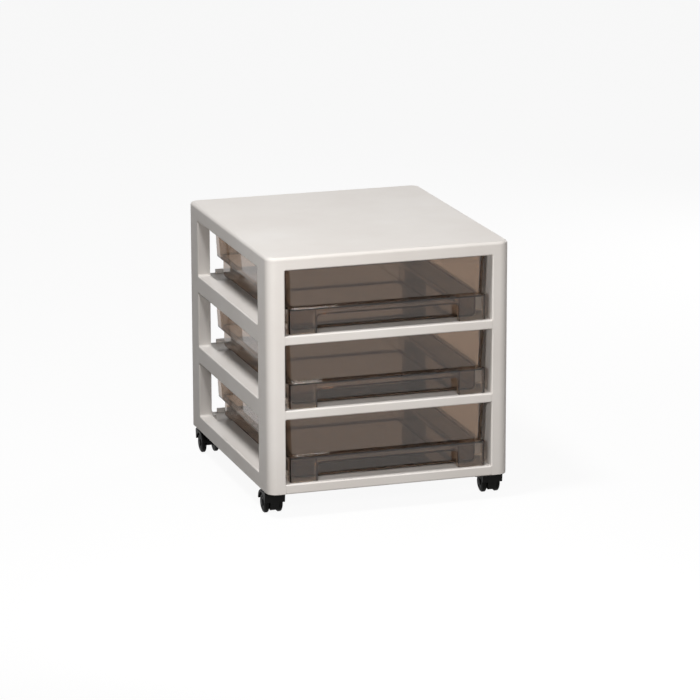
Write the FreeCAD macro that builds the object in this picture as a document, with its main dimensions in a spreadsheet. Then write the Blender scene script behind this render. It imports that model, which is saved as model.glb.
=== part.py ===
"""Three-drawer rolling organizer: a moulded frame, clear drawers and twin-wheel casters.

Axes: +X to the right, -Y to the front, +Z up, millimetres.  The origin is on the floor,
under the middle of the frame.  Every driving dimension is a cell of the Sizes sheet, and
each sub-part is an object of the document that is bound to those cells.
"""
import FreeCAD, Part
import os
import re

import Sketcher

OUTPUT_FOLDER = "parts"
LEVELS = 3
HALF_TURN = 180
FULL_TURN = 360
NEAR = 1e-4
UPRIGHT = FreeCAD.Vector(0, 0, 1)
os.makedirs(OUTPUT_FOLDER, exist_ok=True)

doc = FreeCAD.newDocument("organizer")

# ---------------------------------------------------------------- driving dimensions
SIZES = {
    # frame
    "overall_width": (380, "across the frame"),
    "overall_depth": (430, "front to back"),
    "opening_height": (100, "clear height of one drawer opening"),
    "rail_height": (14, "front rail between two openings"),
    "base_rail_height": (15, "front rail under the lowest opening"),
    "lid_height": (20, "skirt of the top panel"),
    "frame_wall": (3, "wall of the white mouldings"),
    "corner_radius": (15, "upright corners of the frame"),
    "lid_edge_radius": (5, "top edges of the frame"),
    "foot_edge_radius": (1.2, "bottom edges of the frame"),
    "base_lip_radius": (2.4, "rounded lower edge of the base panel's rail"),
    "lip_chamfer": (1.6, "bevelled lip round each drawer opening"),
    "seam_gap": (0.2, "gap where one moulding fits in another"),
    # side frames
    "post_width": (27.5, "front post seen from the front"),
    "post_depth": (51, "posts seen from the side"),
    "side_thickness": (20, "side frame seen through its windows"),
    "sill_rise": (9, "window sill above the shelf"),
    "head_drop": (4.2, "window head below the rail above it"),
    "lid_head_drop": (3.5, "top window's head below the lid"),
    "window_radius": (3, "corners of the side windows"),
    "window_edge_radius": (2, "outer edges of the side windows"),
    "runner_width": (22.5, "runner ledge inside the side frame"),
    "runner_start": (40, "front end of the runner ledge"),
    "runner_length": (300, "length of the runner ledge"),
    "bearer_reach": (10, "flange that carries a shelf's edge"),
    "tongue_height": (8, "tongue that locates the lid"),
    # shelves
    "shelf_edge_depth": (10, "side skirt of a shelf"),
    "rib_thickness": (2, "stiffening ribs"),
    "rib_depth": (5, "stiffening ribs below the plate"),
    "rib_count": (5, "ribs under each plate"),
    "rib_spacing": (56, "distance between ribs"),
    "stop_height": (6, "rear lip of a shelf"),
    # drawers
    "drawer_wall": (2.5, "clear drawer wall"),
    "drawer_recess": (12, "drawer rim behind the frame's front"),
    "drawer_side_gap": (5.1, "post to drawer rim"),
    "drawer_top_gap": (3, "drawer rim to the rail above it"),
    "drawer_length": (393, "drawer rim, front to back"),
    "drawer_flare": (2.7, "lean of the upper wall from step to rim"),
    "step_height": (36, "height of the step above the shelf"),
    "step_inset": (8.2, "lower tray inside the upper wall"),
    "drawer_corner_radius": (12, "upright corners of the upper wall"),
    "tray_corner_radius": (10, "upright corners of the lower tray"),
    "tray_bottom_radius": (7, "rounded bottom edge of the lower tray"),
    "apron_reach": (6, "front apron before the drawer's rim"),
    "apron_side_inset": (0.6, "side of the apron inside the step's side"),
    "apron_radius": (3.5, "upright corners of the apron"),
    "apron_clearance": (0.8, "apron above the shelf"),
    "notch_width": (223, "finger notch"),
    "notch_height": (27, "finger notch"),
    "notch_radius": (7, "top corners of the finger notch"),
    "notch_rim_depth": (5, "rim turned inwards round the finger notch"),
    "notch_rim_wall": (2, "wall of that rim"),
    "gusset_wall": (1.2, "gusset from the rim's ends up to the step"),
    "skid_height": (1.2, "skid ribs under the drawer"),
    "skid_width": (4, "skid ribs under the drawer"),
    "skid_offset": (110, "skid ribs from the middle"),
    "slide_gap": (0.3, "running clearance of a drawer"),
    # casters
    "caster_height": (37, "floor to the frame's underside"),
    "stem_side_inset": (16.8, "caster stem from the frame's side"),
    "stem_end_inset": (32, "caster stem from the frame's front or back"),
    "trail": (10, "wheel axle behind the stem"),
    "wheel_radius": (15.5, "caster wheel"),
    "wheel_width": (8.3, "caster wheel"),
    "wheel_gap": (0.5, "wheel to hood"),
    "wheel_inset": (0.2, "wheel's outer face inside the hood's side"),
    "wheel_cap": (2, "closed outer face over the axle's end"),
    "tread_chamfer": (1.5, "broken inner edge of the tread"),
    "tread_width": (4.2, "level tread, from the wheel's inner face"),
    "shoulder_radius": (13.2, "where the domed outer face turns"),
    "shoulder_width": (6.4, "where the domed outer face turns"),
    "face_radius": (9.8, "dish in the wheel's outer face"),
    "face_width": (7.6, "edge of the dish, from the wheel's inner face"),
    "face_dish": (0.9, "dish in the wheel's outer face"),
    "hub_radius": (4.5, "raised middle of the wheel's outer face"),
    "web_thickness": (14, "middle body of the hood, between the wheels"),
    "hood_crown": (2.4, "curved guard of the hood round its wheels"),
    "hood_nose_radius": (3, "front top edge of the hood"),
    "hood_edge": (1, "broken side edges of the hood"),
    "hood_gap": (0.7, "hood to the socket's flange"),
    "hood_front_height": (7, "front edge of the hood's web above the floor"),
    "hood_guard_height": (19, "lower edge of the guard over the wheels"),
    "stem_diameter": (7, "caster stem"),
    "stem_length": (17, "stem above the frame's underside"),
    "stem_grip": (6, "stem inside the hood"),
    "stem_groove_depth": (0.6, "groove for the retaining ring"),
    "stem_groove_width": (1.5, "groove for the retaining ring"),
    "stem_tip": (4, "groove below the stem's top"),
    "socket_wall": (1.5, "caster socket"),
    "socket_flange": (1, "caster socket's flange"),
    "socket_flange_width": (3, "flange beyond the socket's body"),
    "socket_depth": (20, "socket above the frame's underside"),
    "axle_diameter": (4, "caster axle"),
    "shaft_clearance": (0.05, "radial clearance of a shaft in its bore"),
}

sheet = doc.addObject("Spreadsheet::Sheet", "Sizes")
for row, (alias, (number, meaning)) in enumerate(SIZES.items(), start=1):
    sheet.set(f"A{row}", alias)
    sheet.set(f"B{row}", str(number))
    sheet.set(f"C{row}", meaning)
    sheet.setAlias(f"B{row}", alias)
doc.recompute()

# ------------------------------------------------------ lengths that follow from them
PITCH = "(opening_height + rail_height)"
POST_HEIGHT = f"(base_rail_height + {LEVELS} * opening_height + {LEVELS - 1} * rail_height)"
HALF_WIDTH = "(overall_width / 2)"
OPENING_HALF = f"({HALF_WIDTH} - post_width)"
PLATE_HALF = f"({HALF_WIDTH} - side_thickness - seam_gap)"
RIM_HALF = f"({OPENING_HALF} - drawer_side_gap)"
STEP_HALF = f"({RIM_HALF} - drawer_flare)"
RIM_HEIGHT = "(opening_height - drawer_top_gap)"
TRAY_BOTTOM = "(slide_gap + skid_height)"
APRON_HALF = f"({STEP_HALF} - apron_side_inset)"
APRON_FRONT = "(drawer_recess - apron_reach)"
APRON_END = "(drawer_recess + drawer_flare + drawer_wall)"
RIM_BACK = "(drawer_recess + drawer_length)"
HOOD_TOP = "(caster_height - socket_flange - hood_gap)"
HOOD_RADIUS = "(wheel_radius + wheel_gap)"
WHEEL_SPACE = "(wheel_gap + wheel_width + wheel_inset)"
HOOD_HALF = f"(web_thickness / 2 + {WHEEL_SPACE})"
SOCKET_RADIUS = "(stem_diameter / 2 + shaft_clearance + socket_wall)"


def floor_of(level):
    """Height of the shelf's top over the frame's underside, level 0 being the lowest."""
    return f"(base_rail_height + {level} * {PITCH})"


# ------------------------------------------------------------------- drawing helpers
def tie(text):
    """The same formula, as another object of the document writes it."""
    return re.sub(r"[a-z_]+", lambda word: f"Sizes.{word[0]}" if word[0] in SIZES else word[0], text)


def value(text):
    return float(sheet.evalExpression(text))


def bind(obj, **formulas):
    for name, formula in formulas.items():
        obj.setExpression(name.replace("__", "."), tie(formula))


def new_body(label, x="0", y="0", z="0"):
    """An empty body, placed in the assembly by formulas."""
    body = doc.addObject("PartDesign::Body", label)
    body.Label = label
    bind(body, Placement__Base__x=x, Placement__Base__y=y, Placement__Base__z=z)
    return body


def origin_plane(body, role):
    return next(item for item in body.Origin.OriginFeatures if item.Role == role)


def new_sketch(body, name, role, offset="0"):
    sketch = body.newObject("Sketcher::SketchObject", name)
    sketch.AttachmentSupport = (origin_plane(body, role), [""])
    sketch.MapMode = "FlatFace"
    bind(sketch, AttachmentOffset__Base__z=offset)
    return sketch


def pin_point(sketch, geometry, end, x, y):
    """Dimensions one point of a sketch from the sketch's origin."""
    for kind, formula in (("DistanceX", x), ("DistanceY", y)):
        if formula == "0":
            axis = -2 if kind == "DistanceX" else -1
            sketch.addConstraint(Sketcher.Constraint("PointOnObject", geometry, end, axis))
        else:
            number = sketch.addConstraint(
                Sketcher.Constraint(kind, -1, 1, geometry, end, value(formula)))
            sketch.setExpression(f"Constraints[{number}]", tie(formula))


def draw_loop(sketch, corners):
    """A closed outline of straight lines through the corners, given as formulas."""
    first = sketch.GeometryCount
    count = len(corners)
    spots = [FreeCAD.Vector(value(x), value(y), 0) for x, y in corners]
    for index in range(count):
        line = Part.LineSegment(spots[index], spots[(index + 1) % count])
        sketch.addGeometry(line, False)
    for index in range(count):
        after = first + (index + 1) % count
        sketch.addConstraint(Sketcher.Constraint("Coincident", first + index, 2, after, 1))
    for index, (x, y) in enumerate(corners):
        pin_point(sketch, first + index, 1, x, y)


def draw_box(sketch, left, low, right, high):
    draw_loop(sketch, [(left, low), (right, low), (right, high), (left, high)])


def draw_circle(sketch, x, y, radius):
    spot = FreeCAD.Vector(value(x), value(y), 0)
    circle = sketch.addGeometry(Part.Circle(spot, UPRIGHT, value(radius)), False)
    pin_point(sketch, circle, 3, x, y)
    number = sketch.addConstraint(Sketcher.Constraint("Radius", circle, value(radius)))
    sketch.setExpression(f"Constraints[{number}]", tie(radius))


def extrude(body, kind, name, sketch, length, reverse=False, both_ways=False):
    """A Pad or Pocket, whose direction is checked by the volume that it changes."""
    before = body.Tip.Shape.Volume if body.Tip else 0.0
    feature = body.newObject(f"PartDesign::{kind}", name)
    feature.Profile = sketch
    bind(feature, Length=length)
    feature.Reversed = reverse
    feature.Midplane = both_ways
    doc.recompute()
    change = feature.Shape.Volume - before
    if change == 0 or (change > 0) != (kind == "Pad"):
        raise RuntimeError(f"{body.Label}: {name} changed the volume by {change:.1f}")
    return feature


def pad(body, name, sketch, length, **way):
    return extrude(body, "Pad", name, sketch, length, **way)


def pocket(body, name, sketch, length, **way):
    return extrude(body, "Pocket", name, sketch, length, **way)


def revolve(body, name, sketch, axis):
    feature = body.newObject("PartDesign::Revolution", name)
    feature.Profile = sketch
    feature.ReferenceAxis = (sketch, [axis])
    feature.Angle = FULL_TURN
    doc.recompute()
    return feature


def repeat(body, name, feature, axis_role, count, spacing):
    """Copies of one feature in a row along an axis of the body."""
    pattern = body.newObject("PartDesign::LinearPattern", name)
    pattern.Originals = [feature]
    pattern.Direction = (origin_plane(body, axis_role), [""])
    bind(pattern, Length=f"{spacing} * ({count} - 1)", Occurrences=count)
    body.Tip = pattern
    doc.recompute()
    return pattern


def edge_names(shape, wanted):
    """Names of the edges whose bounding box passes the test."""
    return [f"Edge{number}" for number, edge in enumerate(shape.Edges, start=1)
            if wanted(edge.BoundBox)]


def soften(body, kind, name, size, wanted):
    """A Fillet or Chamfer on the edges that pass the test."""
    base = body.Tip
    feature = body.newObject(f"PartDesign::{kind}", name)
    names = edge_names(base.Shape, wanted)
    if not names:
        raise RuntimeError(f"{body.Label}: no edge for {name}")
    feature.Base = (base, names)
    bind(feature, **{"Radius" if kind == "Fillet" else "Size": size})
    doc.recompute()
    return feature


def near(number, target):
    return abs(number - target) < NEAR


def shell(body, wall, open_height):
    """Hollows the body to a wall, open at its flat face at one height."""
    base = body.Tip
    names = [f"Face{number}" for number, face in enumerate(base.Shape.Faces, start=1)
             if near(face.BoundBox.ZMin, open_height) and near(face.BoundBox.ZMax, open_height)]
    feature = body.newObject("PartDesign::Thickness", "shell")
    feature.Base = (base, names)
    bind(feature, Value=wall)
    feature.Reversed = True
    doc.recompute()
    return feature


def stands_at(x, y):
    """Test for an upright edge at a place in plan."""
    return lambda box: (near(box.XLength, 0) and near(box.YLength, 0)
                        and near(abs(box.XMin), abs(x)) and near(box.YMin, y))


# --------------------------------------------------------------------------- the lid
def add_ribs(body, plate_underside, back):
    """A row of stiffening ribs under a plate, front to back."""
    sketch = new_sketch(body, "rib_outline", "XY_Plane", plate_underside)
    middle = "(-rib_spacing * (rib_count - 1) / 2)"
    draw_box(sketch, f"{middle} - rib_thickness / 2", "frame_wall",
             f"{middle} + rib_thickness / 2", back)
    rib = pad(body, "rib", sketch, "rib_depth", reverse=True)
    repeat(body, "rib_row", rib, "X_Axis", "rib_count", "rib_spacing")


def make_lid():
    """The top panel: a rounded tray, upside down, with ribs and a bevelled front lip."""
    body = new_body("top_panel", "0", "-overall_depth / 2", f"caster_height + {POST_HEIGHT}")
    outline = new_sketch(body, "outline", "XY_Plane")
    draw_box(outline, f"-{HALF_WIDTH}", "0", HALF_WIDTH, "overall_depth")
    pad(body, "block", outline, "lid_height")
    side, depth, top = value(HALF_WIDTH), value("overall_depth"), value("lid_height")
    soften(body, "Fillet", "corners", "corner_radius",
           lambda box: stands_at(side, 0)(box) or stands_at(side, depth)(box))
    soften(body, "Fillet", "top_edges", "lid_edge_radius",
           lambda box: near(box.ZMin, top) and near(box.ZMax, top))

    shell(body, "frame_wall", 0)
    back = "(overall_depth - frame_wall)"
    add_ribs(body, "lid_height - frame_wall", back)

    lip = new_sketch(body, "lip_outline", "YZ_Plane")
    draw_loop(lip, [("0", "0"), ("lip_chamfer", "0"), ("0", "lip_chamfer")])
    pocket(body, "front_lip", lip, f"2 * {OPENING_HALF}", both_ways=True)
    return body


# ------------------------------------------------------------------- the side frames
def make_left_side():
    """Two posts and four rails in one moulding, with ledges that carry the shelves.

    Its own X runs inwards from the outer face, its Y backwards from the front.
    """
    body = new_body("left_side_frame", f"-{HALF_WIDTH}", "-overall_depth / 2", "caster_height")
    ladder = new_sketch(body, "ladder", "YZ_Plane")
    draw_box(ladder, "0", "0", "overall_depth", POST_HEIGHT)
    for level in range(LEVELS):
        drop = "lid_head_drop" if level == LEVELS - 1 else "head_drop"
        draw_box(ladder, "post_depth", f"{floor_of(level)} + sill_rise",
                 "overall_depth - post_depth", f"{floor_of(level)} + opening_height - {drop}")
    pad(body, "side", ladder, "side_thickness")

    post = new_sketch(body, "post_outline", "XY_Plane")
    draw_box(post, "0", "0", "post_width", "post_depth")
    pad(body, "front_post", post, POST_HEIGHT)
    foot = new_sketch(body, "foot_outline", "XY_Plane")
    draw_box(foot, "0", "overall_depth - post_depth", "post_width", "overall_depth")
    pad(body, "rear_foot", foot, "base_rail_height + sill_rise")

    depth = value("overall_depth")
    soften(body, "Fillet", "corners", "corner_radius",
           lambda box: stands_at(0, 0)(box) or stands_at(0, depth)(box))
    radius = value("corner_radius")
    soften(body, "Fillet", "foot_edges", "foot_edge_radius",
           lambda box: (near(box.ZMin, 0) and near(box.ZMax, 0)
                        and box.XMin < radius - NEAR
                        and not near(box.XLength, value("side_thickness"))))
    front, back = value("post_depth"), depth - value("post_depth")
    soften(body, "Fillet", "window_corners", "window_radius",
           lambda box: (near(box.XMin, 0) and near(box.XLength, value("side_thickness"))
                        and (near(box.YMin, front) or near(box.YMin, back))
                        and near(box.YLength, 0)))
    soften(body, "Fillet", "window_edges", "window_edge_radius",
           lambda box: (near(box.XMin, 0) and near(box.XMax, 0)
                        and box.YMin > front - NEAR and box.YMax < back + NEAR))

    inner = "(side_thickness - frame_wall)"
    for level in range(LEVELS):
        floor = floor_of(level)
        sill = f"({floor} + sill_rise)"
        ledge = new_sketch(body, f"runner_outline_{level}", "XZ_Plane", "-runner_start")
        edge = "(side_thickness + runner_width)"
        draw_loop(ledge, [(inner, sill), (edge, sill), (edge, f"{floor} + seam_gap"),
                          (f"{edge} - frame_wall", f"{floor} + seam_gap"),
                          (f"{edge} - frame_wall", f"{sill} - frame_wall"),
                          (inner, f"{sill} - frame_wall")])
        pad(body, f"runner_{level}", ledge, "runner_length", reverse=True)
        bearer = new_sketch(body, f"bearer_outline_{level}", "XZ_Plane", "-(post_depth - frame_wall)")
        seat = f"({floor} - shelf_edge_depth)"
        draw_box(bearer, inner, f"{seat} - frame_wall", "side_thickness + bearer_reach", seat)
        pad(body, f"bearer_{level}", bearer, "overall_depth - 2 * (post_depth - frame_wall)",
            reverse=True)

    lips = new_sketch(body, "lip_outline", "XY_Plane", "base_rail_height")
    draw_loop(lips, [("post_width - lip_chamfer", "0"), ("post_width", "0"),
                     ("post_width", "lip_chamfer")])
    lip = pocket(body, "post_lip", lips, "opening_height", reverse=True)
    repeat(body, "post_lips", lip, "Z_Axis", f"{LEVELS}", PITCH)

    bores = new_sketch(body, "caster_bore_outline", "XY_Plane")
    for place in ("stem_end_inset", "overall_depth - stem_end_inset"):
        draw_circle(bores, "stem_side_inset", place, f"{SOCKET_RADIUS} + shaft_clearance")
    pocket(body, "caster_bores", bores, "socket_depth + seam_gap", reverse=True)

    tongue = new_sketch(body, "tongue_outline", "XY_Plane", POST_HEIGHT)
    draw_box(tongue, "frame_wall + seam_gap", "corner_radius + frame_wall",
             "2 * frame_wall + seam_gap", "overall_depth - corner_radius - frame_wall")
    pad(body, "tongue", tongue, "tongue_height")
    return body


def make_right_side(left_side):
    """The left side frame, mirrored."""
    mirror = doc.addObject("Part::Mirroring", "right_side_frame")
    mirror.Label = "right_side_frame"
    mirror.Source = left_side
    mirror.Normal = FreeCAD.Vector(1, 0, 0)
    doc.recompute()
    return mirror


# ----------------------------------------------------------------------- the shelves
def plate_outline(inset, rear_notches):
    """Plan of a shelf between the posts, drawn inwards by a wall."""
    narrow = f"({OPENING_HALF} - seam_gap - {inset})"
    wide = f"({PLATE_HALF} - {inset})"
    front = f"{inset}"
    back = f"(overall_depth - {inset})"
    shoulder = f"(post_depth + seam_gap + {inset})"
    right = [(narrow, front), (narrow, shoulder), (wide, shoulder)]
    if rear_notches:
        heel = f"(overall_depth - post_depth - seam_gap - {inset})"
        right += [(wide, heel), (narrow, heel), (narrow, back)]
    else:
        right += [(wide, back)]
    left = [(f"-{x}", y) for x, y in reversed(right)]
    return right + left


def make_shelf(label, level, rail, rear_notches):
    """A ribbed plate with a front rail, side skirts and a low stop at its back."""
    body = new_body(label, "0", "-overall_depth / 2", f"caster_height + {floor_of(level)} - {rail}")
    outline = new_sketch(body, "outline", "XY_Plane")
    draw_loop(outline, plate_outline("0", rear_notches))
    pad(body, "block", outline, rail)
    hollow = new_sketch(body, "hollow_outline", "XY_Plane")
    draw_loop(hollow, plate_outline("frame_wall", rear_notches))
    pocket(body, "hollow", hollow, f"{rail} - frame_wall", reverse=True)

    relief = new_sketch(body, "edge_relief_outline", "XY_Plane")
    seat = f"({HALF_WIDTH} - side_thickness - bearer_reach - seam_gap)"
    start = "(post_depth - frame_wall - seam_gap)"
    end = f"(overall_depth - {start})"
    draw_box(relief, seat, start, HALF_WIDTH, end)
    draw_box(relief, f"-{HALF_WIDTH}", start, f"-{seat}", end)
    pocket(body, "edge_relief", relief, f"{rail} - shelf_edge_depth", reverse=True)
    add_ribs(body, f"{rail} - frame_wall", "overall_depth - frame_wall")

    stop = new_sketch(body, "stop_outline", "XY_Plane", rail)
    reach = f"({HALF_WIDTH} - side_thickness - runner_width)"
    draw_box(stop, f"-{reach}", "overall_depth - frame_wall", reach, "overall_depth")
    pad(body, "rear_stop", stop, "stop_height")

    top = value(rail)
    soften(body, "Chamfer", "front_lip", "lip_chamfer",
           lambda box: (near(box.YMin, 0) and near(box.YMax, 0) and near(box.ZMin, top)
                        and near(box.ZLength, 0)))
    lower_kind, lower_size = "Chamfer", "lip_chamfer"
    if rear_notches:
        lower_kind, lower_size = "Fillet", "base_lip_radius"
    soften(body, lower_kind, "lower_lip", lower_size,
           lambda box: near(box.YMin, 0) and near(box.YMax, 0) and near(box.ZMax, 0))
    return body


# ----------------------------------------------------------------------- the drawers
def loft_box(body, name, low, high):
    """A box between two heights whose ends are (height, half width, front, back)."""
    ends = []
    for place, (height, half, front, back) in (("foot", low), ("head", high)):
        sketch = new_sketch(body, f"{name}_{place}", "XY_Plane", height)
        draw_box(sketch, f"-{half}", front, half, back)
        ends.append(sketch)
    feature = body.newObject("PartDesign::AdditiveLoft", name)
    feature.Profile = ends[0]
    feature.Sections = ends[1:]
    doc.recompute()
    return feature


def grown(section, inset, height):
    """The same section, an inset further in and at another height."""
    _, half, front, back = section
    return (height, f"({half} - {inset})", f"({front} + {inset})", f"({back} - {inset})")


def rounded_tray(body, base, step, rim, thinner="0"):
    """A straight tray with a wider box on it, rounded at its corners and its bottom."""
    height, half, front, back = base
    sketch = new_sketch(body, "tray_outline", "XY_Plane", height)
    draw_box(sketch, f"-{half}", front, half, back)
    pad(body, "tray", sketch, f"{step[0]} - {height}")
    loft_box(body, "upper_wall", step, rim)
    for name, radius, low, high in (("upper_corners", "drawer_corner_radius", step, rim),
                                    ("tray_corners", "tray_corner_radius", base, step),
                                    ("bottom_edges", "tray_bottom_radius", base, base)):
        low_z, high_z = value(low[0]), value(high[0])
        soften(body, "Fillet", name, f"{radius} - {thinner}",
               lambda box, low_z=low_z, high_z=high_z: (near(box.ZMin, low_z)
                                                        and near(box.ZMax, high_z)))


def make_apron(label):
    """The skirt before the tray: a shallow box, open below and behind, with a rimmed notch."""
    body = new_body(label)
    outline = new_sketch(body, "outline", "XY_Plane", "apron_clearance")
    draw_box(outline, f"-{APRON_HALF}", APRON_FRONT, APRON_HALF, APRON_END)
    pad(body, "block", outline, "step_height + drawer_wall - apron_clearance")
    front, half, wall = value(APRON_FRONT), value(APRON_HALF), value("drawer_wall")
    hollow = new_sketch(body, "hollow_outline", "XY_Plane", "apron_clearance")
    draw_box(hollow, f"-{APRON_HALF} + drawer_wall", f"{APRON_FRONT} + drawer_wall",
             f"{APRON_HALF} - drawer_wall", APRON_END)
    pocket(body, "hollow", hollow, "step_height - apron_clearance", reverse=True)
    soften(body, "Fillet", "inner_corners", "apron_radius - drawer_wall",
           stands_at(half - wall, front + wall))
    soften(body, "Fillet", "corners", "apron_radius", stands_at(half, front))

    top = "(apron_clearance + notch_height)"
    crest = f"({top} + notch_rim_wall)"
    shoulder = f"({top} - notch_radius)"
    flank = "(notch_width / 2 + notch_rim_wall)"
    inside = f"-({APRON_FRONT} + drawer_wall)"
    rim = new_sketch(body, "notch_rim_outline", "XZ_Plane", inside)
    draw_box(rim, f"-{flank}", "apron_clearance", flank, crest)
    pad(body, "notch_rim", rim, "notch_rim_depth", reverse=True)
    notch = new_sketch(body, "notch_outline", "XZ_Plane", f"-{APRON_FRONT}")
    draw_box(notch, "-notch_width / 2", "apron_clearance", "notch_width / 2", top)
    pocket(body, "notch", notch, "drawer_wall + notch_rim_depth")
    for name, height, radius in (("notch_corners", top, "notch_radius"),
                                 ("rim_corners", crest, "notch_radius + notch_rim_wall")):
        level = value(height)
        soften(body, "Fillet", name, radius,
               lambda box, level=level: (near(box.ZMin, level) and near(box.ZMax, level)
                                         and near(box.XLength, 0)))
    gussets = new_sketch(body, "gusset_outline", "XZ_Plane", inside)
    draw_box(gussets, f"-{flank}", shoulder, f"-{flank} + gusset_wall", "step_height")
    draw_box(gussets, f"{flank} - gusset_wall", shoulder, flank, "step_height")
    pad(body, "gussets", gussets, "notch_rim_depth", reverse=True)
    return body


def make_drawer(label, level):
    """A clear moulded drawer: a wide rim, a step, a narrower tray and a notched apron."""
    rim = (RIM_HEIGHT, RIM_HALF, "drawer_recess", RIM_BACK)
    step = grown(rim, "drawer_flare", "step_height")
    base = grown(step, "step_inset", TRAY_BOTTOM)
    outside = new_body(f"{label}_outside")
    rounded_tray(outside, base, step, rim)
    skids = new_sketch(outside, "skid_outline", "XY_Plane", TRAY_BOTTOM)
    for side in ("-1", "1"):
        middle = f"({side} * skid_offset)"
        draw_box(skids, f"{middle} - skid_width / 2", f"{base[2]} + tray_corner_radius",
                 f"{middle} + skid_width / 2", f"{base[3]} - tray_corner_radius")
    pad(outside, "skids", skids, "skid_height", reverse=True)

    hollow = new_body(f"{label}_hollow")
    rounded_tray(hollow, grown(base, "drawer_wall", f"({TRAY_BOTTOM} + drawer_wall)"),
                 grown(step, "drawer_wall", "(step_height + drawer_wall)"),
                 grown(rim, "drawer_wall", RIM_HEIGHT), "drawer_wall")
    solid = doc.addObject("Part::MultiFuse", f"{label}_solid")
    solid.Shapes = [outside, make_apron(f"{label}_apron")]
    drawer = doc.addObject("Part::Cut", label)
    drawer.Label = label
    drawer.Base = solid
    drawer.Tool = hollow
    bind(drawer, Placement__Base__y="-overall_depth / 2",
         Placement__Base__z=f"caster_height + {floor_of(level)}")
    doc.recompute()
    return drawer


# ----------------------------------------------------------------------- the casters
def make_socket(label, x, y):
    """A flanged sleeve pressed into the foot of a post."""
    body = new_body(label, x, y, "caster_height")
    sketch = new_sketch(body, "profile", "XZ_Plane")
    bore = "(stem_diameter / 2 + shaft_clearance)"
    draw_loop(sketch, [(bore, "-socket_flange"),
                       (f"{SOCKET_RADIUS} + socket_flange_width", "-socket_flange"),
                       (f"{SOCKET_RADIUS} + socket_flange_width", "0"),
                       (SOCKET_RADIUS, "0"), (SOCKET_RADIUS, "socket_depth"),
                       (bore, "socket_depth")])
    revolve(body, "sleeve", sketch, "V_Axis")
    return body


def make_stem(label, x, y):
    """The steel stem: its foot is held in the hood and it turns in the socket."""
    body = new_body(label, x, y, "caster_height")
    sketch = new_sketch(body, "profile", "XZ_Plane")
    radius = "(stem_diameter / 2)"
    neck = f"({radius} - stem_groove_depth)"
    foot = f"({HOOD_TOP} - caster_height - stem_grip)"
    groove = "(stem_length - stem_tip)"
    draw_loop(sketch, [("0", foot), (radius, foot), (radius, groove), (neck, groove),
                       (neck, f"{groove} + stem_groove_width"),
                       (radius, f"{groove} + stem_groove_width"),
                       (radius, "stem_length - stem_groove_depth"), (neck, "stem_length"),
                       ("0", "stem_length")])
    revolve(body, "pin", sketch, "V_Axis")
    return body


def make_hood(label, x, y, turn):
    """The swivelling body: a middle web and a curved guard over two wheels."""
    body = new_body(label, x, y, "0")
    body.Placement.Rotation = FreeCAD.Rotation(UPRIGHT, turn)
    profile = new_sketch(body, "side_profile", "YZ_Plane")
    nose = f"(trail - {HOOD_RADIUS} - hood_crown)"
    tail = f"(trail + {HOOD_RADIUS} + hood_crown)"
    draw_loop(profile, [(f"{nose} + hood_crown", "hood_front_height"), (nose, "wheel_radius"),
                        (f"{nose} - hood_crown", HOOD_TOP), (tail, HOOD_TOP),
                        (tail, "wheel_radius")])
    pad(body, "helmet", profile, f"2 * {HOOD_HALF}", both_ways=True)
    top, half, back = value(HOOD_TOP), value(HOOD_HALF), value(tail)
    soften(body, "Fillet", "crown", "wheel_radius",
           lambda box: (near(box.ZMin, top) and near(box.YMin, back)
                        and near(box.XLength, 2 * half)))
    soften(body, "Fillet", "nose", "hood_nose_radius",
           lambda box: (near(box.ZMin, top) and near(box.YMin, value(f"{nose} - hood_crown"))
                        and near(box.XLength, 2 * half)))
    soften(body, "Chamfer", "side_edges", "hood_edge",
           lambda box: near(box.XLength, 0) and near(abs(box.XMin), half))

    for side, name in ((1, "right"), (-1, "left")):
        cavity = new_sketch(body, f"{name}_cavity_outline", "YZ_Plane", f"{side} * web_thickness / 2")
        draw_circle(cavity, "trail", "wheel_radius", HOOD_RADIUS)
        pocket(body, f"{name}_cavity", cavity, WHEEL_SPACE, reverse=side > 0)
        skirt = new_sketch(body, f"{name}_skirt_outline", "YZ_Plane",
                           f"{side} * web_thickness / 2")
        draw_box(skirt, f"{nose} - hood_crown", "0", f"{tail} + hood_crown",
                 "hood_guard_height")
        pocket(body, f"{name}_skirt", skirt, WHEEL_SPACE, reverse=side > 0)
    axle = new_sketch(body, "axle_bore_outline", "YZ_Plane")
    draw_circle(axle, "trail", "wheel_radius", "axle_diameter / 2 + shaft_clearance")
    pocket(body, "axle_bore", axle, "2 * web_thickness", both_ways=True)
    stem = new_sketch(body, "stem_bore_outline", "XY_Plane", HOOD_TOP)
    draw_circle(stem, "0", "0", "stem_diameter / 2 + shaft_clearance")
    pocket(body, "stem_bore", stem, "stem_grip")
    return body


def make_axle(label, x, y):
    body = new_body(label, x, y, "wheel_radius")
    sketch = new_sketch(body, "profile", "YZ_Plane")
    draw_circle(sketch, "0", "0", "axle_diameter / 2")
    reach = "(web_thickness / 2 + wheel_gap + wheel_width - wheel_cap - seam_gap)"
    pad(body, "rod", sketch, f"2 * {reach}", both_ways=True)
    half = value(reach)
    soften(body, "Chamfer", "ends", "seam_gap", lambda box: near(abs(box.XMin), half))
    return body


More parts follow.
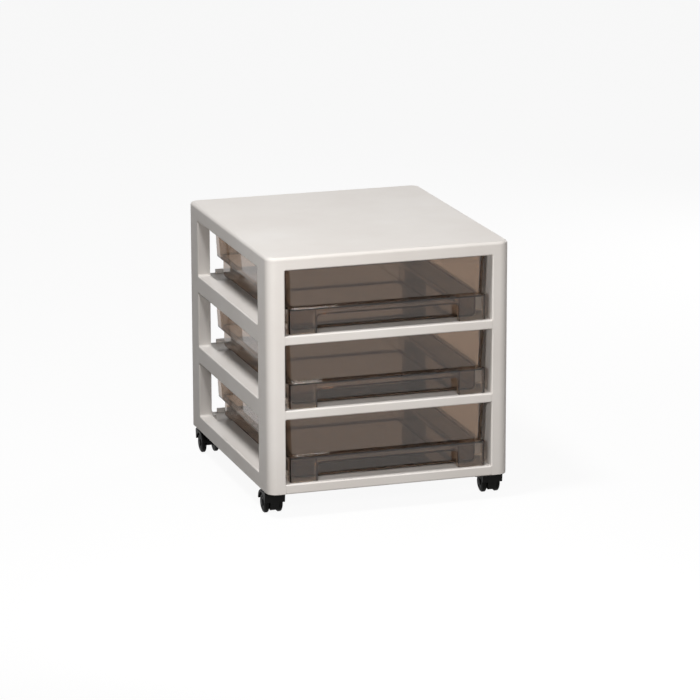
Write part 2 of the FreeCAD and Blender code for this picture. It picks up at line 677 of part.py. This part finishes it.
def make_wheel(label, x, y, side, turn):
    """A nylon wheel closed on its outer face; its own X runs outwards from the web."""
    body = new_body(label, f"{x} + {side} * (web_thickness / 2 + wheel_gap)", y, "wheel_radius")
    body.Placement.Rotation = FreeCAD.Rotation(UPRIGHT, turn)
    sketch = new_sketch(body, "profile", "XY_Plane")
    bore = "(axle_diameter / 2 + shaft_clearance)"
    floor = "(face_width - face_dish)"
    draw_loop(sketch, [("0", bore), ("0", "wheel_radius - tread_chamfer"),
                       ("tread_chamfer", "wheel_radius"), ("tread_width", "wheel_radius"),
                       ("shoulder_width", "shoulder_radius"), ("face_width", "face_radius"),
                       (floor, "face_radius - face_dish"),
                       (floor, "hub_radius + face_dish"), ("wheel_width", "hub_radius"),
                       ("wheel_width", "0"), ("wheel_width - wheel_cap", "0"),
                       ("wheel_width - wheel_cap", bore)])
    revolve(body, "wheel", sketch, "H_Axis")
    return body


def make_caster(corner, across, along):
    """Every piece of one caster; across and along are -1 or 1 for its corner.

    The hood's nose is turned to the nearer end of the frame, so the wheels trail inwards.
    """
    x = f"({across} * ({HALF_WIDTH} - stem_side_inset))"
    y = f"({along} * (overall_depth / 2 - stem_end_inset))"
    axle_y = f"({y} - {along} * trail)"
    return [make_socket(f"{corner}_caster_socket", x, y),
            make_stem(f"{corner}_caster_stem", x, y),
            make_hood(f"{corner}_caster_hood", x, y, HALF_TURN if along > 0 else 0),
            make_axle(f"{corner}_caster_axle", x, axle_y),
            make_wheel(f"{corner}_caster_left_wheel", x, axle_y, -1, HALF_TURN),
            make_wheel(f"{corner}_caster_right_wheel", x, axle_y, 1, 0)]


# ---------------------------------------------------------------------- the assembly
left_side = make_left_side()
sub_parts = [make_lid(), left_side, make_right_side(left_side),
             make_shelf("upper_shelf", 2, "rail_height", False),
             make_shelf("middle_shelf", 1, "rail_height", False),
             make_shelf("base_panel", 0, "base_rail_height", True),
             make_drawer("lower_drawer", 0),
             make_drawer("middle_drawer", 1),
             make_drawer("upper_drawer", 2)]
for corner_name, corner_across, corner_along in (("front_left", -1, -1), ("front_right", 1, -1),
                                                 ("rear_left", -1, 1), ("rear_right", 1, 1)):
    sub_parts += make_caster(corner_name, corner_across, corner_along)
doc.recompute()

for item in doc.Objects:
    if "Invalid" in item.State or "Error" in item.State:
        raise RuntimeError(f"{item.Name} failed: {item.State}")
for item in sub_parts:
    if item.Shape.isNull() or not item.Shape.isValid() or len(item.Shape.Solids) != 1:
        raise RuntimeError(f"{item.Label} isn't one valid solid")
    item.Shape.exportStep(os.path.join(OUTPUT_FOLDER, f"{item.Label}.step"))
    box = item.Shape.optimalBoundingBox()
    print(f"{item.Label:30s} {item.Shape.Volume:12.1f} mm3  "
          f"x {box.XMin:8.2f} {box.XMax:8.2f}  y {box.YMin:8.2f} {box.YMax:8.2f}  "
          f"z {box.ZMin:8.2f} {box.ZMax:8.2f}")
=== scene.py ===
# %% [markdown]
# # Finishing a rolling three-drawer organizer
#
# The real object is a craft-room drawer unit. A white plastic frame carries clear,
# smoke-brown drawers, and four small twin-wheel casters carry the frame.
# Its solid parts come ready made from the engineering model, in metres, standing on
# the floor at z = 0 with the front towards -Y. This lesson gives them their finishes,
# gives the wheels the domed form of real mouldings, and sets up a camera, a floor and
# soft light. Nothing solid is moved or resized.

# %% Load the solid parts
import math

import bmesh
import bpy
from mathutils import Euler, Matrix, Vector


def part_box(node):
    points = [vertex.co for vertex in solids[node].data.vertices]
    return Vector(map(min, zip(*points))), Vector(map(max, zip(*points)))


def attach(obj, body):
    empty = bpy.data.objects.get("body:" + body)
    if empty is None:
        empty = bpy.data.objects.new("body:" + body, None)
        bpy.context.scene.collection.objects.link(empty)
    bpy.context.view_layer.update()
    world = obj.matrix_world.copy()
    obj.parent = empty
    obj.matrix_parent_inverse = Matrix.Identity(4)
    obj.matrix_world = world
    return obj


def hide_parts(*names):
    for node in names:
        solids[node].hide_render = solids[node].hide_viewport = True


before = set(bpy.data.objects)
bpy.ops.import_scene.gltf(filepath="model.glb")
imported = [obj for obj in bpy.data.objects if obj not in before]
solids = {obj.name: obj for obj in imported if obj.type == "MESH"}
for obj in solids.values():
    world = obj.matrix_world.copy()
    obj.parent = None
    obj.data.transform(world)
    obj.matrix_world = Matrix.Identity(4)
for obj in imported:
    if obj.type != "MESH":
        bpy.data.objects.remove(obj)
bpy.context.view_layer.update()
print("solid parts:", len(solids))

CORNERS = ("front_left", "front_right", "rear_left", "rear_right")
DRAWERS = ("lower_drawer", "middle_drawer", "upper_drawer")

# %% [markdown]
# ## The camera
#
# A long lens far away keeps upright edges nearly parallel, so the unit's proportions
# can be judged. The camera could be aimed with a Track To constraint. A plain rotation
# is used here, because the lens, the place and the three angles were worked out together.

# %% Camera
camera_data = bpy.data.cameras.new("studio_camera")
camera_data.lens = 193.07
camera_data.sensor_width = 36.0
camera_data.clip_end = 100.0
camera = bpy.data.objects.new("studio_camera", camera_data)
camera.location = (-1.71696, -5.35369, 1.64503)
camera.rotation_euler = Euler((math.radians(75.530), math.radians(0.1356),
                               math.radians(-17.885)))
bpy.context.scene.collection.objects.link(camera)
bpy.context.scene.camera = camera
bpy.context.scene.view_settings.view_transform = "Standard"
print("camera distance to the unit:", round(camera.location.length, 2), "m")

# %% [markdown]
# ## Nodes without the typing
#
# Every finish below is a small graph of shader nodes. One class makes the material, adds
# its nodes and joins their sockets, so each finish reads as a short recipe.
# Patterns read Object coordinates, which here are metres in the unit's own frame, so a
# noise scale of 1000 has grains about a millimetre across.


# %% Node helpers
class Recipe:
    """A new material with its Principled shader and a shorter way to add nodes."""

    def __init__(self, name):
        self.material = bpy.data.materials.new(name)
        self.material.use_nodes = True
        self.tree = self.material.node_tree
        self.shader = self.tree.nodes["Principled BSDF"]
        self.output = self.tree.nodes["Material Output"]
        self.place = self.add("ShaderNodeTexCoord").outputs["Object"]

    def add(self, kind, **settings):
        """One new node, with its own settings."""
        node = self.tree.nodes.new(kind)
        for name, value in settings.items():
            setattr(node, name, value)
        return node

    def join(self, source, target):
        """A link from an output socket to an input socket."""
        self.tree.links.new(source, target)

    def stretch(self, scale):
        """The object's coordinates, squeezed or stretched along each axis."""
        mapping = self.add("ShaderNodeMapping")
        self.join(self.place, mapping.inputs["Vector"])
        mapping.inputs["Scale"].default_value = scale
        return mapping.outputs["Vector"]

    def noise(self, scale, detail=3.0, roughness=0.5, place=None):
        """A noise pattern: a larger scale gives finer grains."""
        node = self.add("ShaderNodeTexNoise")
        self.join(place or self.place, node.inputs["Vector"])
        node.inputs["Scale"].default_value = scale
        node.inputs["Detail"].default_value = detail
        node.inputs["Roughness"].default_value = roughness
        return node.outputs["Fac"]

    def ramp(self, source, stops):
        """A colour ramp through (position, colour) stops."""
        node = self.add("ShaderNodeValToRGB")
        self.join(source, node.inputs["Fac"])
        elements = node.color_ramp.elements
        while len(elements) < len(stops):
            elements.new(0.5)
        for element, (position, colour) in zip(elements, stops):
            element.position = position
            element.color = (*colour, 1.0)
        return node.outputs["Color"]

    def spread(self, source, low, high, start=0.3, end=0.7):
        """A number between low and high, as the source goes from start to end."""
        node = self.add("ShaderNodeMapRange")
        self.join(source, node.inputs["Value"])
        for socket, number in zip(("From Min", "From Max", "To Min", "To Max"),
                                  (start, end, low, high)):
            node.inputs[socket].default_value = number
        return node.outputs["Result"]

    def bump(self, source, height, strength=1.0, under=None):
        """A bumpy surface, height in metres, laid over another bump where one is given."""
        node = self.add("ShaderNodeBump")
        self.join(source, node.inputs["Height"])
        node.inputs["Distance"].default_value = height
        node.inputs["Strength"].default_value = strength
        if under:
            self.join(under, node.inputs["Normal"])
        return node.outputs["Normal"]

    def set(self, **numbers):
        """Plain numbers and colours for the shader's own sockets."""
        for name, number in numbers.items():
            self.shader.inputs[name.replace("_", " ")].default_value = number

    def feed(self, **sources):
        """Patterns for the shader's own sockets."""
        for name, source in sources.items():
            self.join(source, self.shader.inputs[name.replace("_", " ")])


def dress(material, *names):
    """Puts one finish on whole solid parts."""
    for name in names:
        mesh = solids[name].data
        mesh.materials.clear()
        mesh.materials.append(material)
    print(material.name, "on", len(names), "parts")


# %% [markdown]
# ## White moulded plastic
#
# The frame is injection-moulded polypropylene: a warm white, satin rather than glossy.
# Close to, the surface has the fine grain of a spark-eroded mould, it sinks a little
# where ribs stand behind it, and handling leaves faint dull streaks.
# A flat colour with one roughness would look like paper, so four noises of different
# sizes share the work: clouds in the colour, streaks in the gloss, and grain and sinks
# in the bump.

# %% White plastic
white = Recipe("warm_white_polypropylene")
clouds = white.noise(7.0, detail=4.0)
white.feed(Base_Color=white.ramp(clouds, [(0.30, (0.735, 0.700, 0.668)),
                                          (0.55, (0.765, 0.735, 0.705)),
                                          (0.75, (0.790, 0.765, 0.740))]))
streaks = white.noise(26.0, detail=5.0, roughness=0.62, place=white.stretch((1.0, 1.0, 5.0)))
white.feed(Roughness=white.spread(streaks, low=0.30, high=0.44))
grain = white.bump(white.noise(950.0, detail=2.0), height=0.00006, strength=0.35)
sinks = white.bump(white.noise(16.0, detail=1.0), height=0.0006, strength=0.25, under=grain)
white.feed(Normal=sinks)
white.set(IOR=1.49, Specular_IOR_Level=0.05)
FRAME_PARTS = ("top_panel", "left_side_frame", "right_side_frame", "upper_shelf",
               "middle_shelf", "base_panel")
dress(white.material, *FRAME_PARTS)

# %% [markdown]
# ## Smoke-brown clear plastic
#
# The drawers are tinted polystyrene. Light loses more colour the further it travels in
# the plastic, so a wall seen flat is a light smoke and an edge seen end-on is almost
# black. A tinted surface alone can't do that. Absorption inside the volume does, and it
# gives the dark step line and the dark rim for nothing.
# Fine hairlines and a little haze in the roughness keep it from looking like glass.

# %% Smoke plastic
smoke = Recipe("smoke_brown_polystyrene")
smoke.set(Base_Color=(0.96, 0.94, 0.92, 1.0), Transmission_Weight=1.0, IOR=1.59)
hairlines = smoke.noise(120.0, detail=3.0, roughness=0.7, place=smoke.stretch((0.4, 9.0, 9.0)))
smoke.feed(Roughness=smoke.spread(hairlines, low=0.0, high=0.05, start=0.45, end=0.75))
smoke.feed(Normal=smoke.bump(smoke.noise(11.0, detail=2.0), height=0.0004, strength=0.18))
absorb = smoke.add("ShaderNodeVolumeAbsorption")
absorb.inputs["Color"].default_value = (0.47, 0.31, 0.15, 1.0)
absorb.inputs["Density"].default_value = 430.0
smoke.join(absorb.outputs["Volume"], smoke.output.inputs["Volume"])
dress(smoke.material, *DRAWERS)

# %% [markdown]
# ## Black nylon and steel
#
# The hoods and sockets are black glass-filled nylon, slightly mottled and dull.
# The wheels are the same colour, worn smooth and a little dusty.
# Stems and axles are drawn steel rod. Its fine marks run upright, along the stems; the
# axles are hidden inside the hoods and the wheels.

# %% Caster finishes
hood_nylon = Recipe("black_hood_nylon")
mottle = hood_nylon.noise(190.0, detail=4.0, roughness=0.6)
hood_nylon.feed(Base_Color=hood_nylon.ramp(mottle, [(0.35, (0.0024, 0.0023, 0.0022)),
                                                    (0.70, (0.0055, 0.0052, 0.0050))]))
hood_nylon.feed(Roughness=hood_nylon.spread(hood_nylon.noise(70.0), low=0.38, high=0.58))
mould_grain = hood_nylon.noise(1500.0, detail=2.0)
hood_nylon.feed(Normal=hood_nylon.bump(mould_grain, height=0.00005, strength=0.5))
hood_nylon.set(Specular_IOR_Level=0.10)
dress(hood_nylon.material, *(f"{corner}_caster_{piece}" for corner in CORNERS
                             for piece in ("hood", "socket")))

wheel_nylon = Recipe("dusty_wheel_nylon")
dust = wheel_nylon.noise(240.0, detail=5.0, roughness=0.7)
wheel_nylon.feed(Base_Color=wheel_nylon.ramp(dust, [(0.45, (0.0030, 0.0030, 0.0030)),
                                                    (0.72, (0.0105, 0.0098, 0.0090))]))
wheel_nylon.feed(Roughness=wheel_nylon.spread(dust, low=0.30, high=0.60))
wear = wheel_nylon.noise(900.0)
wheel_nylon.feed(Normal=wheel_nylon.bump(wear, height=0.00006, strength=0.4))
wheel_nylon.set(Specular_IOR_Level=0.06)
dress(wheel_nylon.material, *(f"{corner}_caster_{side}_wheel" for corner in CORNERS
                              for side in ("left", "right")))

steel = Recipe("drawn_steel")
steel.set(Metallic=1.0)
drawn = steel.noise(600.0, detail=3.0, place=steel.stretch((1.0, 1.0, 0.08)))
steel.feed(Base_Color=steel.ramp(drawn, [(0.3, (0.46, 0.45, 0.44)), (0.7, (0.62, 0.61, 0.60))]))
steel.feed(Roughness=steel.spread(drawn, low=0.22, high=0.38))
dress(steel.material, *(f"{corner}_caster_{piece}" for corner in CORNERS
                        for piece in ("stem", "axle")))

# %% [markdown]
# ## Domed wheels
#
# The solid wheels are turned from straight lines. A moulded nylon wheel is rounder: its
# outer face swells like a lens, a groove rings the hub, and a hair-thin parting line
# runs round the tread where the two halves of the mould met.
# Half the cross-section is drawn once and spun round the axle. Every ring edge that is
# still sharp then gets a small round, as a mould leaves, except on the parting line,
# which is too narrow to hold one: there the rounds would meet and fold the faces flat.
# A boolean of spheres and cylinders could make the same form, with much worse faces.
# The wheel's radius and width come from the solid wheel's own box, so it stays in the
# space that the hood leaves for it.


# %% Small helpers for new pieces
def finish_piece(mesh_work, name, material, body):
    """Turns a bmesh into a smooth object that rides on a body."""
    bmesh.ops.recalc_face_normals(mesh_work, faces=mesh_work.faces)
    mesh = bpy.data.meshes.new(name)
    mesh_work.to_mesh(mesh)
    mesh_work.free()
    for polygon in mesh.polygons:
        polygon.use_smooth = True
    mesh.materials.append(material)
    piece = bpy.data.objects.new(name, mesh)
    bpy.context.scene.collection.objects.link(piece)
    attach(piece, body)
    return piece


def has_room(edge, radius):
    """True where the neighbouring edges are long enough to take a round of this radius."""
    sides = [side for face in edge.link_faces for side in face.edges
             if side is not edge and set(side.verts) & set(edge.verts)]
    return all(side.calc_length() > 2 * radius for side in sides)


def round_sharp_rings(mesh_work, radius, sharpest):
    """Rounds every edge whose two faces meet at more than an angle, where there is room."""
    edges = [edge for edge in mesh_work.edges
             if len(edge.link_faces) == 2 and edge.calc_face_angle() > sharpest
             and has_room(edge, radius)]
    bmesh.ops.bevel(mesh_work, geom=edges, offset=radius, offset_type="OFFSET", segments=2,
                    profile=0.5, affect="EDGES", material=-1, clamp_overlap=True)


# %% Half of a wheel's cross-section
BORE = 0.00205  # radius of the hole for the axle
HUB_CAP = 0.002  # thickness of the outer face over the axle's end
TREAD_SHARE = 0.5  # part of the width that is tread, before the dome begins
TREAD_EDGE = 0.0009  # bevel at the tread's inner edge
PARTING_PLACE = 0.6  # where the parting line lies on the tread
PARTING_LINE = 0.0001  # half its width, and its depth
GROOVE_OUTSIDE = 0.0096  # radii of the groove round the hub
GROOVE_INSIDE = 0.0048
GROOVE_DEPTH = 0.0008
DOME_STEPS = 8


def wheel_section(radius, width):
    """Distances from the inner face and from the axle, along half a cross-section."""
    tread_end = width * TREAD_SHARE

    def dome(height):
        """How far the lens-shaped outer face stands out at a distance from the axle."""
        return tread_end + (width - tread_end) * math.sqrt(1 - (height / radius) ** 2)

    turn_from = math.asin(GROOVE_OUTSIDE / radius)
    turns = [math.pi / 2 + (turn_from - math.pi / 2) * step / DOME_STEPS
             for step in range(DOME_STEPS + 1)]
    parting = tread_end * PARTING_PLACE
    groove_floor = dome(GROOVE_OUTSIDE) - GROOVE_DEPTH
    return ([(width - HUB_CAP, 0.0), (width - HUB_CAP, BORE), (0.0, BORE),
             (0.0, radius - TREAD_EDGE), (TREAD_EDGE, radius),
             (parting - PARTING_LINE, radius), (parting, radius - PARTING_LINE),
             (parting + PARTING_LINE, radius)]
            + [(dome(radius * math.sin(turn)), radius * math.sin(turn)) for turn in turns]
            + [(groove_floor, GROOVE_OUTSIDE - GROOVE_DEPTH),
               (groove_floor, GROOVE_INSIDE + GROOVE_DEPTH),
               (dome(GROOVE_INSIDE), GROOVE_INSIDE), (dome(GROOVE_INSIDE / 2), GROOVE_INSIDE / 2),
               (width, 0.0)])


# %% Spin the eight wheels
WHEEL_STEPS = 72
WHEEL_ROUND = 0.00022
SHARP_RING = math.radians(28)
WELD = 1e-6


def make_wheel(node, outwards):
    """A domed wheel in a solid one's place; outwards is -1 or 1 for its side of the hood."""
    low, high = (Vector(corner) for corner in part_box(node))
    middle = (low + high) / 2
    inner_face = low.x if outwards > 0 else high.x
    work = bmesh.new()
    ring = [work.verts.new((inner_face + outwards * out, middle.y, middle.z + height))
            for out, height in wheel_section((high.z - low.z) / 2, high.x - low.x)]
    section = [work.edges.new(pair) for pair in zip(ring, ring[1:])]
    bmesh.ops.spin(work, geom=ring + section, cent=middle, axis=(1.0, 0.0, 0.0),
                   angle=math.tau, steps=WHEEL_STEPS, use_merge=True)
    bmesh.ops.remove_doubles(work, verts=work.verts, dist=WELD)
    round_sharp_rings(work, WHEEL_ROUND, SHARP_RING)
    piece = finish_piece(work, f"{node}_moulding", wheel_nylon.material, node)
    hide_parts(node)
    return piece


wheels = [make_wheel(f"{corner}_caster_{side}_wheel", outwards)
          for corner in CORNERS for side, outwards in (("left", -1), ("right", 1))]
print(len(wheels), "wheels of", len(wheels[0].data.polygons), "faces")

# %% [markdown]
# ## The stage
#
# The floor is one large pale sheet. A real studio sweep is overexposed until it prints
# white, and turning the lamps up would do the same here, but it would burn out the
# white frame too. So the sheet's material asks Light Path what kind of ray has come.
# For the camera, a reflection or a clear wall it is mostly a plain glow of strength 1,
# which is white, with a little matte paper mixed in to hold the unit's shadow.
# For the light that bounces from it, it is a darker sheet, as in a studio where black
# cloth keeps the light off a pale object's shaded side, so that its form still reads.

# %% Floor
FLOOR_REACH = 30.0
GLOW_SHARE = 0.93

floor_work = bmesh.new()
bmesh.ops.create_grid(floor_work, x_segments=1, y_segments=1, size=FLOOR_REACH)
floor_mesh = bpy.data.meshes.new("studio_floor")
floor_work.to_mesh(floor_mesh)
floor_work.free()
floor = bpy.data.objects.new("studio_floor", floor_mesh)
bpy.context.scene.collection.objects.link(floor)


def seen_directly(tree):
    """1 for rays from the camera, a reflection or a clear wall, else 0."""
    path = tree.nodes.new("ShaderNodeLightPath")
    either = path.outputs["Is Camera Ray"]
    for kind in ("Is Glossy Ray", "Is Transmission Ray"):
        add = tree.nodes.new("ShaderNodeMath")
        add.operation = "MAXIMUM"
        tree.links.new(either, add.inputs[0])
        tree.links.new(path.outputs[kind], add.inputs[1])
        either = add.outputs[0]
    return either


paper = bpy.data.materials.new("pale_floor")
paper.use_nodes = True
paper_tree = paper.node_tree
paper_tree.nodes.clear()


def paper_node(kind, **numbers):
    """One new node of the floor's material, with numbers for its sockets."""
    node = paper_tree.nodes.new(kind)
    for name, number in numbers.items():
        node.inputs[name].default_value = number
    return node


def mix_shaders(amount, first, second):
    """Two shaders mixed by a plain number or by another node's output."""
    mix = paper_tree.nodes.new("ShaderNodeMixShader")
    if isinstance(amount, float):
        mix.inputs["Fac"].default_value = amount
    else:
        paper_tree.links.new(amount, mix.inputs["Fac"])
    paper_tree.links.new(first.outputs[0], mix.inputs[1])
    paper_tree.links.new(second.outputs[0], mix.inputs[2])
    return mix


bounce = paper_node("ShaderNodeBsdfDiffuse", Color=(0.12, 0.11, 0.10, 1.0))
sheet = paper_node("ShaderNodeBsdfDiffuse", Color=(0.90, 0.90, 0.90, 1.0))
glow = paper_node("ShaderNodeEmission", Strength=1.0)
seen = mix_shaders(GLOW_SHARE, sheet, glow)
look = mix_shaders(seen_directly(paper_tree), bounce, seen)
sheet_out = paper_tree.nodes.new("ShaderNodeOutputMaterial")
paper_tree.links.new(look.outputs[0], sheet_out.inputs["Surface"])
floor_mesh.materials.append(paper)

# %% [markdown]
# ## The air round the stage
#
# The world does for the horizon what the glow does for the floor: white where it is
# seen, in a reflection or through a clear wall, and almost no light on the unit itself.

# %% World
STRENGTH_ON_THE_UNIT = 0.03
STRENGTH_WHERE_SEEN = 1.0

world = bpy.data.worlds.new("studio_air")
bpy.context.scene.world = world
world.use_nodes = True
air = world.node_tree
background = air.nodes["Background"]
background.inputs["Color"].default_value = (1.0, 1.0, 1.0, 1.0)
level = air.nodes.new("ShaderNodeMapRange")
level.inputs["To Min"].default_value = STRENGTH_ON_THE_UNIT
level.inputs["To Max"].default_value = STRENGTH_WHERE_SEEN
air.links.new(seen_directly(air), level.inputs["Value"])
air.links.new(level.outputs["Result"], background.inputs["Strength"])

# %% [markdown]
# ## Soft light
#
# Four round softboxes do the work. The larger a lamp is for its distance, the softer its
# shadow. A small one close by at the front left brightens the near corner and runs out along
# the left side, which gives the side its slow fade towards the rear.
# A larger one fills the front face. The third hangs high and a little to the left: it
# lights the top, and its slanting light reaches in through the side windows to the
# rails' upper faces. The fourth, far out at the rear right, keeps the back and the
# right side from going black. Seen from the front left it stands off the line in which
# the lid and the clear drawers would mirror it. Low views from other sides do catch a
# lamp in the lid, as a glossy lid would in a real studio.
# One big sheet of light would be simpler to place, but it would light every side alike
# and hide the frame's depth.


# %% Lamps
def softbox(name, place, aim, size, watts, colour):
    """A round lamp of this size across, turned towards a point."""
    data = bpy.data.lights.new(name, "AREA")
    data.shape = "DISK"
    data.size = size
    data.energy = watts
    data.color = colour
    lamp = bpy.data.objects.new(name, data)
    lamp.location = place
    lamp.rotation_euler = (Vector(aim) - Vector(place)).to_track_quat("-Z", "Y").to_euler()
    bpy.context.scene.collection.objects.link(lamp)
    print(name, watts, "W")


WARM_WHITE = (1.0, 0.98, 0.96)
NEAR_WHITE = (1.0, 0.99, 0.98)

softbox("front_left_softbox", place=(-0.45, -0.85, 0.45), aim=(-0.1, -0.1, 0.2),
        size=0.2, watts=2.3, colour=WARM_WHITE)
softbox("front_softbox", place=(0.05, -1.25, 0.50), aim=(0.0, -0.2, 0.2),
        size=0.4, watts=5.6, colour=WARM_WHITE)
softbox("high_softbox", place=(-0.76, -0.40, 2.50), aim=(-0.1, 0.0, 0.3),
        size=0.45, watts=44.0, colour=NEAR_WHITE)
softbox("rear_right_softbox", place=(1.60, 1.20, 0.80), aim=(0.0, 0.1, 0.2),
        size=0.5, watts=14.0, colour=NEAR_WHITE)
